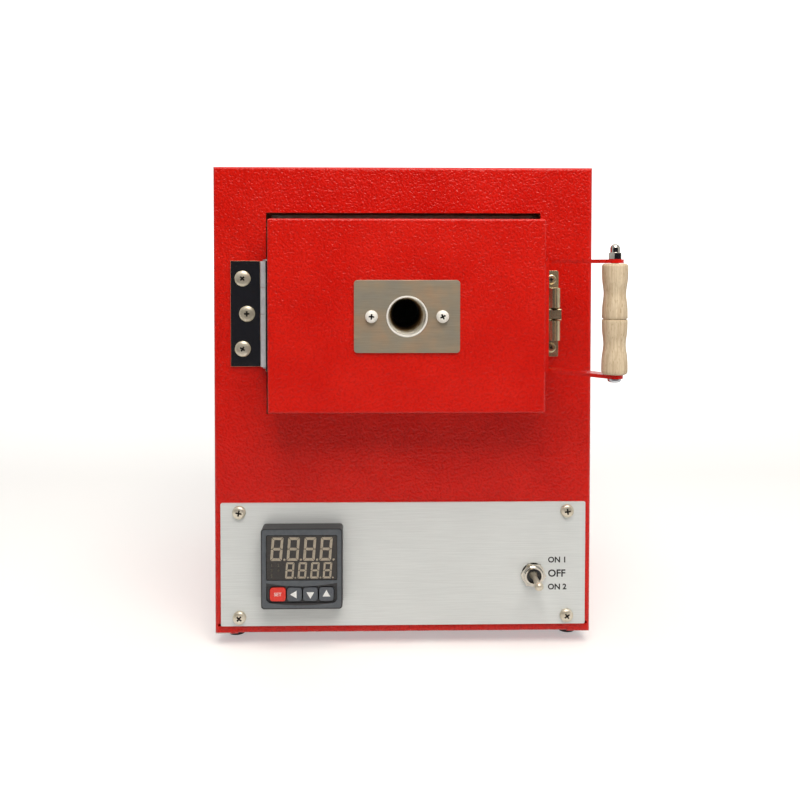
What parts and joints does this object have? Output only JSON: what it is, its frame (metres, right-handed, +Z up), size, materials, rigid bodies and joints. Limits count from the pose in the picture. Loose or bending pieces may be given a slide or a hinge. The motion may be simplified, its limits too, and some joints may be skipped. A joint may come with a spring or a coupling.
{
  "type": "bead annealing kiln",
  "caption": "Small electric kiln for annealing glass beads: folded red sheet casing, fibre muffle with heating wires, side hinged door with peephole, wooden grip, ball catch and controller.",
  "frame": {"origin": "centre of the casing's base, on the plane the four feet stand on", "axes": "+X to the right seen from the front, the door faces -Y, +Z up"},
  "size_m": [0.2341, 0.3155, 0.2895],
  "materials": {
    "red_coat": "textured powder coat",
    "foot_rubber": "moulded",
    "zinc_steel": "zinc plated",
    "polished_steel": "bright plated",
    "scaled_steel": "heat discoloured",
    "stainless": "brushed",
    "brushed_aluminium": "brushed",
    "sink_aluminium": "extruded",
    "ceramic_fibre": "moulded fibre",
    "glazed_porcelain": "glazed",
    "probe_ceramic": "sintered",
    "heating_wire": "oxidised",
    "black_plastic": "moulded",
    "window_plastic": "tinted",
    "red_key": "moulded",
    "grey_keys": "moulded",
    "brass_plate": "satin",
    "beech": "turned and waxed"
  },
  "bodies": {
    "casing": {"front_panel": "red_coat", "wrap_cover": "red_coat", "rear_panel": "red_coat", "base_plate": "red_coat", "rubber_feet": "foot_rubber", "foot_screws": "zinc_steel", "case_screws": "zinc_steel", "opening_collar": "scaled_steel", "chassis_shelf": "zinc_steel", "muffle": "ceramic_fibre", "insulation_floor": "ceramic_fibre", "insulation_roof": "ceramic_fibre", "insulation_sides": "ceramic_fibre", "insulation_rear": "ceramic_fibre", "muffle_back_plate": "zinc_steel", "element_left": "heating_wire", "element_right": "heating_wire", "terminal_blocks": "glazed_porcelain", "thermocouple": "probe_ceramic", "relay_heat_sink": "sink_aluminium", "solid_state_relay": "black_plastic", "power_inlet": "black_plastic", "inlet_screws": "zinc_steel", "control_plate": "brushed_aluminium", "control_plate_screws": "polished_steel", "controller_case": "black_plastic", "controller_window": "window_plastic", "controller_clip": "black_plastic", "toggle_body": "black_plastic", "toggle_nut": "polished_steel", "hinge_body_leaf": "polished_steel", "hinge_body_screws": "polished_steel", "hinge_backing_strip": "zinc_steel", "hinge_pin": "zinc_steel", "catch_body": "brass_plate", "catch_screws": "brass_plate", "catch_plugs": "brass_plate", "catch_spring_upper": "zinc_steel", "catch_spring_lower": "zinc_steel"},
    "door": {"door_shell": "red_coat", "door_insulation": "ceramic_fibre", "peephole_plate": "stainless", "peephole_sleeve": "polished_steel", "peephole_screws": "polished_steel", "handle_bracket": "red_coat", "handle_screws": "zinc_steel", "grip_bolt": "zinc_steel", "grip_nut": "polished_steel", "hinge_door_leaf": "polished_steel", "hinge_door_screws": "polished_steel", "strike": "brass_plate", "strike_screws": "brass_plate"},
    "grip": {"wooden_grip": "beech"},
    "lever": {"toggle_lever": "polished_steel"},
    "key_mode": {"key_mode": "red_key"},
    "key_left": {"key_left": "grey_keys"},
    "key_down": {"key_down": "grey_keys"},
    "key_up": {"key_up": "grey_keys"},
    "ball_upper": {"catch_ball_upper": "polished_steel"},
    "ball_lower": {"catch_ball_lower": "polished_steel"}
  },
  "joints": [
    {"name": "door_hinge", "type": "hinge", "parent": "casing", "child": "door", "pos_m": [-0.0816, -0.1288, 0.2018], "axis": [0, 0, -1], "range_deg": [0, 92]},
    {"name": "grip_spin", "type": "hinge", "parent": "door", "child": "grip", "pos_m": [0.1129, -0.179, 0.2018], "axis": [0, 0, 1], "continuous": true},
    {"name": "toggle_tilt", "type": "hinge", "parent": "casing", "child": "lever", "pos_m": [0.0786, -0.127, 0.0438], "axis": [1, 0, 0], "range_deg": [-12, 12]},
    {"name": "key_mode_press", "type": "slide", "parent": "casing", "child": "key_mode", "axis": [0, 1, 0], "range_m": [0, 0.0006], "stiffness_N_per_m": 1500},
    {"name": "key_left_press", "type": "slide", "parent": "casing", "child": "key_left", "axis": [0, 1, 0], "range_m": [0, 0.0006], "stiffness_N_per_m": 1500},
    {"name": "key_down_press", "type": "slide", "parent": "casing", "child": "key_down", "axis": [0, 1, 0], "range_m": [0, 0.0006], "stiffness_N_per_m": 1500},
    {"name": "key_up_press", "type": "slide", "parent": "casing", "child": "key_up", "axis": [0, 1, 0], "range_m": [0, 0.0006], "stiffness_N_per_m": 1500},
    {"name": "ball_upper_slide", "type": "slide", "parent": "casing", "child": "ball_upper", "axis": [0, 0, 1], "range_m": [0, 0.0009], "stiffness_N_per_m": 2500, "springref_m": -0.001, "deforming": ["catch_spring_upper"]},
    {"name": "ball_lower_slide", "type": "slide", "parent": "casing", "child": "ball_lower", "axis": [0, 0, -1], "range_m": [0, 0.0009], "stiffness_N_per_m": 2500, "springref_m": -0.001, "deforming": ["catch_spring_lower"]}
  ]
}
